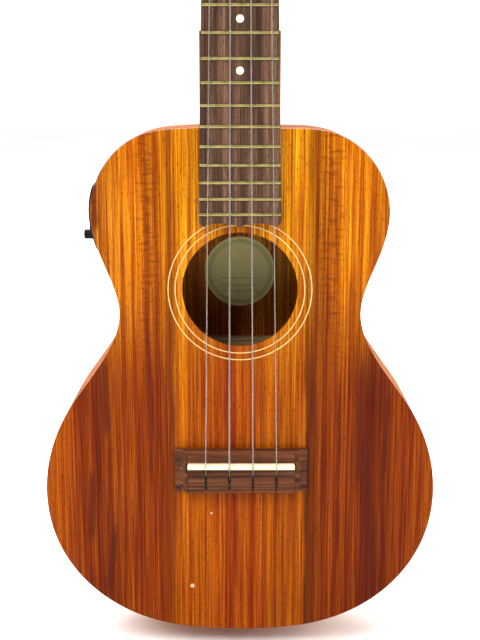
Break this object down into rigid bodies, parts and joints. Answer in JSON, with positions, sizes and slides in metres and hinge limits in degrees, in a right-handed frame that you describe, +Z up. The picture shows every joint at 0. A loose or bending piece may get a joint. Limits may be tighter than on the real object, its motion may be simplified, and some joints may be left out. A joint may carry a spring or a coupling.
{
  "type": "ukulele",
  "caption": "Tenor ukulele with a flat inclined back, slotted bridge, open-gear tuners, side preamp and endpin jack.",
  "frame": {"origin": "on the centreline at the nut's string-side face, in the plane of the soundboard's outer face, where a wall hanger takes the neck", "axes": "+Z up the neck to the headstock, -Y the way the strings face, +X the treble (A string) side"},
  "size_m": [0.2294, 0.0835, 0.6752],
  "materials": {
    "top_wood": "satin varnish",
    "side_wood": "satin varnish",
    "neck_wood": "satin varnish",
    "inner_wood": "bare",
    "brace_wood": "bare",
    "rosewood": "oiled",
    "rosette": "polished inlay",
    "pearl_dot": "polished",
    "bone": "polished bone",
    "label_paper": "matt",
    "string_nylon": "clear smooth",
    "fret_wire": "polished nickel brass",
    "tuner_plate": "plated",
    "tuner_post": "plated",
    "tuner_gear": "machined",
    "tuner_button": "polished",
    "screw_steel": "plated",
    "black_plastic": "satin moulded",
    "knob_plastic": "satin moulded",
    "display": "smooth window",
    "circuit_board": "solder mask",
    "cell_steel": "polished cell can",
    "pickup": "foil",
    "jack_metal": "plated"
  },
  "bodies": {
    "body": {"soundboard": "top_wood", "back_plate": "side_wood", "side_bass": "side_wood", "side_treble": "side_wood", "neck_block": "inner_wood", "tail_block": "inner_wood", "linings": "inner_wood", "bridge_plate": "inner_wood", "top_braces": "brace_wood", "back_braces": "brace_wood", "rosette_rings": "rosette", "label": "label_paper", "bridge": "rosewood", "saddle": "bone", "pickup_strip": "pickup", "neck": "neck_wood", "headstock_veneer": "rosewood", "heel_cap": "rosewood", "fretboard": "rosewood", "frets": "fret_wire", "fret_markers": "pearl_dot", "nut": "bone", "string_g": "string_nylon", "string_c": "string_nylon", "string_e": "string_nylon", "string_a": "string_nylon", "tuner_plates": "tuner_plate", "tuner_bushings": "tuner_post", "wood_screws": "screw_steel", "preamp_housing": "black_plastic", "preamp_bezel": "black_plastic", "preamp_board": "circuit_board", "preamp_display": "display", "jack_socket": "jack_metal", "strap_button": "black_plastic"},
    "tuner_knob_1": {"tuner_worm_1": "tuner_post", "tuner_button_1": "tuner_button"},
    "tuner_post_body_1": {"tuner_post_1": "tuner_post", "tuner_gear_1": "tuner_gear", "string_winding_1": "string_nylon"},
    "tuner_knob_2": {"tuner_worm_2": "tuner_post", "tuner_button_2": "tuner_button"},
    "tuner_post_body_2": {"tuner_post_2": "tuner_post", "tuner_gear_2": "tuner_gear", "string_winding_2": "string_nylon"},
    "tuner_knob_3": {"tuner_worm_3": "tuner_post", "tuner_button_3": "tuner_button"},
    "tuner_post_body_3": {"tuner_post_3": "tuner_post", "tuner_gear_3": "tuner_gear", "string_winding_3": "string_nylon"},
    "tuner_knob_4": {"tuner_worm_4": "tuner_post", "tuner_button_4": "tuner_button"},
    "tuner_post_body_4": {"tuner_post_4": "tuner_post", "tuner_gear_4": "tuner_gear", "string_winding_4": "string_nylon"},
    "volume_knob": {"preamp_knob_volume": "knob_plastic"},
    "tone_knob": {"preamp_knob_tone": "knob_plastic"},
    "push_button": {"preamp_button": "knob_plastic"},
    "battery_tray": {"battery_drawer": "black_plastic", "battery": "cell_steel"}
  },
  "joints": [
    {"name": "tuner_knob_turn_1", "type": "hinge", "parent": "body", "child": "tuner_knob_1", "pos_m": [-0.019, 0.0253, 0.03094], "axis": [1, 0, 0], "continuous": true},
    {"name": "tuner_post_turn_1", "type": "hinge", "parent": "body", "child": "tuner_post_body_1", "pos_m": [-0.019, 0.00855, 0.04153], "axis": [0, -0.9744, 0.225], "continuous": true},
    {"name": "tuner_knob_turn_2", "type": "hinge", "parent": "body", "child": "tuner_knob_2", "pos_m": [-0.019, 0.03519, 0.07381], "axis": [1, 0, 0], "continuous": true},
    {"name": "tuner_post_turn_2", "type": "hinge", "parent": "body", "child": "tuner_post_body_2", "pos_m": [-0.019, 0.01845, 0.0844], "axis": [0, -0.9744, 0.225], "continuous": true},
    {"name": "tuner_knob_turn_3", "type": "hinge", "parent": "body", "child": "tuner_knob_3", "pos_m": [0.019, 0.03519, 0.07381], "axis": [1, 0, 0], "continuous": true},
    {"name": "tuner_post_turn_3", "type": "hinge", "parent": "body", "child": "tuner_post_body_3", "pos_m": [0.019, 0.01845, 0.0844], "axis": [0, -0.9744, 0.225], "continuous": true},
    {"name": "tuner_knob_turn_4", "type": "hinge", "parent": "body", "child": "tuner_knob_4", "pos_m": [0.019, 0.0253, 0.03094], "axis": [1, 0, 0], "continuous": true},
    {"name": "tuner_post_turn_4", "type": "hinge", "parent": "body", "child": "tuner_post_body_4", "pos_m": [0.019, 0.00855, 0.04153], "axis": [0, -0.9744, 0.225], "continuous": true},
    {"name": "volume_turn", "type": "hinge", "parent": "body", "child": "volume_knob", "pos_m": [-0.086, 0.02, -0.302], "axis": [-1, 0, 0], "range_deg": [0, 280]},
    {"name": "tone_turn", "type": "hinge", "parent": "body", "child": "tone_knob", "pos_m": [-0.086, 0.044, -0.302], "axis": [-1, 0, 0], "range_deg": [0, 280]},
    {"name": "button_press", "type": "slide", "parent": "body", "child": "push_button", "axis": [1, 0, 0], "range_m": [0, 0.0006], "stiffness_N_per_m": 1500},
    {"name": "drawer_slide", "type": "slide", "parent": "body", "child": "battery_tray", "axis": [-1, 0, 0], "range_m": [0, 0.023]}
  ],
  "couplings": [
    {"joint": "tuner_post_turn_1", "follows": "tuner_knob_turn_1", "ratio": -0.071429},
    {"joint": "tuner_post_turn_2", "follows": "tuner_knob_turn_2", "ratio": -0.071429},
    {"joint": "tuner_post_turn_3", "follows": "tuner_knob_turn_3", "ratio": -0.071429},
    {"joint": "tuner_post_turn_4", "follows": "tuner_knob_turn_4", "ratio": -0.071429}
  ]
}
